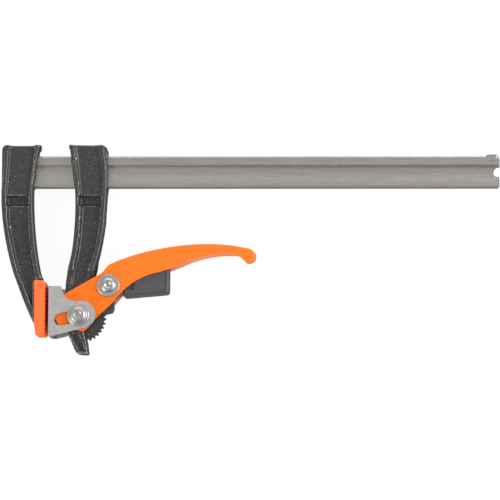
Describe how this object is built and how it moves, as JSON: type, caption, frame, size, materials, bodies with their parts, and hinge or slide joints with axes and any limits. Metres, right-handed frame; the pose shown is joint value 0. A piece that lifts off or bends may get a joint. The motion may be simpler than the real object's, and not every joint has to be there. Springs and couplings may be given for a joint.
{
  "type": "quick release bar clamp",
  "caption": "Bar clamp with a fixed arm, a sliding arm, a ratchet lever that presses a moving jaw, and a release trigger.",
  "frame": {"origin": "centre of the fixed jaw's clamping face", "axes": "+X out of the fixed jaw's face, along the rail; +Y from the jaws to the rail; +Z across the thickness, up as the clamp lies flat"},
  "size_m": [0.3291, 0.1387, 0.0308],
  "materials": {
    "rail_steel": "satin",
    "arm_casting": "textured matt black coat",
    "pad_plastic": "satin moulding",
    "stirrup_zinc": "pale zinc plate, satin",
    "rivet_nickel": "bright plate",
    "washer_zinc": "zinc plate",
    "lever_enamel": "gloss powder coat",
    "pawl_steel": "dark phosphated",
    "spring_steel": "drawn wire",
    "trigger_plastic": "semi-gloss moulding"
  },
  "bodies": {
    "clamp_frame": {"rail": "rail_steel", "fixed_arm": "arm_casting", "fixed_pad_cap": "pad_plastic"},
    "slider": {"sliding_arm": "arm_casting", "lower_rivet": "rivet_nickel", "lower_washer_front": "washer_zinc", "lower_washer_back": "washer_zinc", "pivot_shim_front": "washer_zinc", "pivot_shim_back": "washer_zinc"},
    "jaw_stirrup": {"stirrup": "stirrup_zinc"},
    "handle": {"lever": "lever_enamel", "upper_rivet": "rivet_nickel", "upper_washer_front": "washer_zinc", "upper_washer_back": "washer_zinc", "pawl_spacer_front": "washer_zinc", "pawl_spacer_back": "washer_zinc", "pawl_spring": "spring_steel"},
    "trigger": {"ratchet_pawl": "pawl_steel", "release_trigger": "trigger_plastic", "trigger_pin": "spring_steel"}
  },
  "joints": [
    {"name": "arm_slide", "type": "slide", "parent": "clamp_frame", "child": "slider", "axis": [1, 0, 0], "range_m": [-0.0018, 0.2498]},
    {"name": "lever_swing", "type": "hinge", "parent": "slider", "child": "handle", "pos_m": [0.0222, -0.0053, 0], "axis": [0, 0, 1], "range_deg": [-70, 0]},
    {"name": "stirrup_slide", "type": "slide", "parent": "slider", "child": "jaw_stirrup", "axis": [0.9724, 0.2334, 0], "range_m": [0, 0.0072]},
    {"name": "trigger_squeeze", "type": "hinge", "parent": "handle", "child": "trigger", "pos_m": [0.0417, 0.01465, 0], "axis": [0, 0, 1], "range_deg": [0, 12], "stiffness_Nm_per_rad": 0.25, "springref_deg": -34.38, "deforming": ["pawl_spring"]}
  ],
  "couplings": [
    {"joint": "stirrup_slide", "follows": "lever_swing", "m_per_rad": -0.00585}
  ]
}
